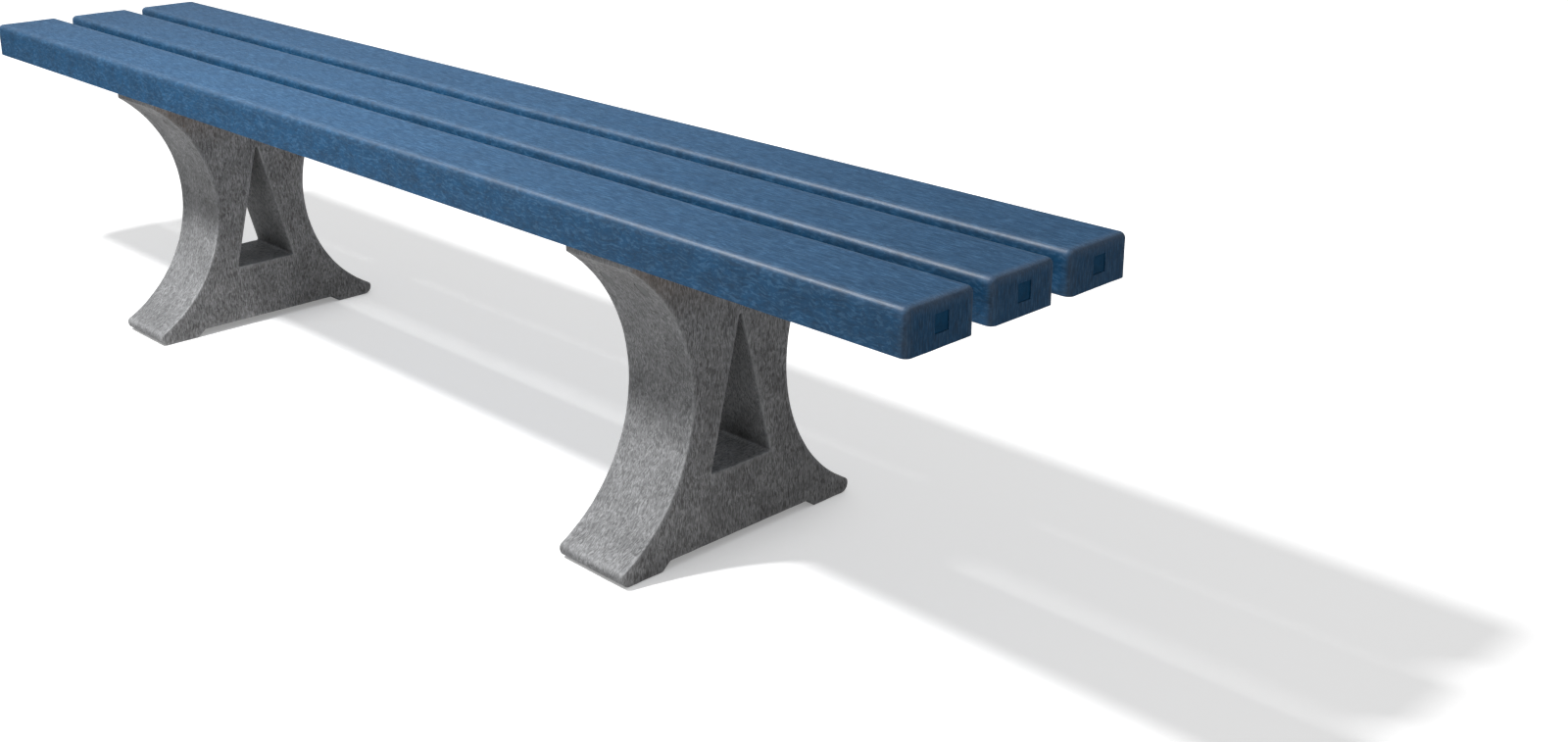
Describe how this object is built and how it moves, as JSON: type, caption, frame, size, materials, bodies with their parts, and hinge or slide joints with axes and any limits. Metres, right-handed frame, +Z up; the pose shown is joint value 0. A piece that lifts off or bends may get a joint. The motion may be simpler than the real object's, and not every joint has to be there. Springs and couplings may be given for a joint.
{
  "type": "backless park bench",
  "caption": "Backless park bench: long planks of blue recycled plastic side by side on cast grey hourglass legs, each with a triangular window.",
  "frame": {"origin": "on the ground under the middle of the seat", "axes": "+X along the bench to its right end as seen from the front, +Y to the rear, +Z up"},
  "size_m": [2, 0.373, 0.432],
  "materials": {
    "recycled_plastic_blue": "satin, fine fibrous grain along the plank",
    "plug_plastic_blue": "smooth moulded, matt",
    "recycled_plastic_grey": "mottled and finely fibrous, matt",
    "galvanised_steel": "zinc coated, dull spangle",
    "stainless_steel": "satin"
  },
  "bodies": {
    "root": {"seat_plank_front": "recycled_plastic_blue", "core_tube_front": "galvanised_steel", "end_plug_front_left": "plug_plastic_blue", "end_plug_front_right": "plug_plastic_blue", "seat_plank_middle": "recycled_plastic_blue", "core_tube_middle": "galvanised_steel", "end_plug_middle_left": "plug_plastic_blue", "end_plug_middle_right": "plug_plastic_blue", "seat_plank_rear": "recycled_plastic_blue", "core_tube_rear": "galvanised_steel", "end_plug_rear_left": "plug_plastic_blue", "end_plug_rear_right": "plug_plastic_blue", "leg_left": "recycled_plastic_grey", "seat_bolts_left": "stainless_steel", "bolt_washers_left": "stainless_steel", "bore_caps_left": "recycled_plastic_grey", "leg_right": "recycled_plastic_grey", "seat_bolts_right": "stainless_steel", "bolt_washers_right": "stainless_steel", "bore_caps_right": "recycled_plastic_grey"}
  },
  "joints": []
}
